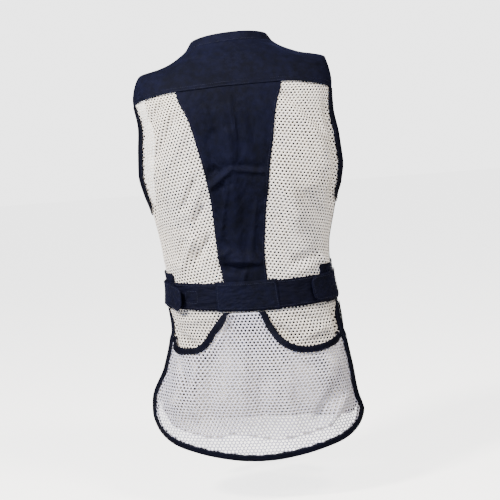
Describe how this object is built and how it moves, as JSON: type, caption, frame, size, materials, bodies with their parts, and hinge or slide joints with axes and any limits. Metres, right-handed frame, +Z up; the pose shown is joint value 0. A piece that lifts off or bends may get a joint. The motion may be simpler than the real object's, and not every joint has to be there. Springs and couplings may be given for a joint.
{
  "type": "shooting vest",
  "caption": "Hollow worn sleeveless vest: navy twill yoke and fronts, off-white net back, back belt, scooped rear pocket, front zip with a hinged pull tab.",
  "frame": {"origin": "inside the garment midway between the shoulders, level with the middle of the shoulder line, where a wearer's shoulders hold it", "axes": "+Z up towards the neck, +Y out of the back (the wearer faces -Y), +X towards the wearer's left"},
  "size_m": [0.3876, 0.2477, 0.7604],
  "materials": {
    "twill": "matte navy cotton twill",
    "net": "off-white warp-knit net with round holes",
    "binding_tape": "near-black navy folded tape, slight sheen",
    "webbing": "navy twill belt, matte",
    "zip_tape": "dark woven tape and moulded teeth",
    "metal": "satin dark nickel"
  },
  "bodies": {
    "vest": {"armhole_binding_left": "binding_tape", "armhole_binding_right": "binding_tape", "belt": "webbing", "belt_loop": "webbing", "centre_back": "twill", "front_binding_left": "binding_tape", "front_binding_right": "binding_tape", "front_left": "twill", "front_right": "twill", "mesh_back_left": "net", "mesh_back_right": "net", "neck_band": "twill", "scoop_binding_left": "binding_tape", "scoop_binding_right": "binding_tape", "side_anchor_left": "twill", "side_anchor_right": "twill", "side_tab_left": "twill", "side_tab_right": "twill", "skirt_inner": "net", "skirt_outer": "net", "tail_binding": "binding_tape", "yoke": "twill", "zip_chain": "zip_tape", "zip_slider": "metal", "zip_tape": "zip_tape"},
    "pull": {"zip_pull": "metal"}
  },
  "joints": [
    {"name": "pull_hinge", "type": "hinge", "parent": "vest", "child": "pull", "pos_m": [0.00282, -0.1068, -0.08745], "axis": [-1, 0, 0], "range_deg": [0, 150]}
  ]
}
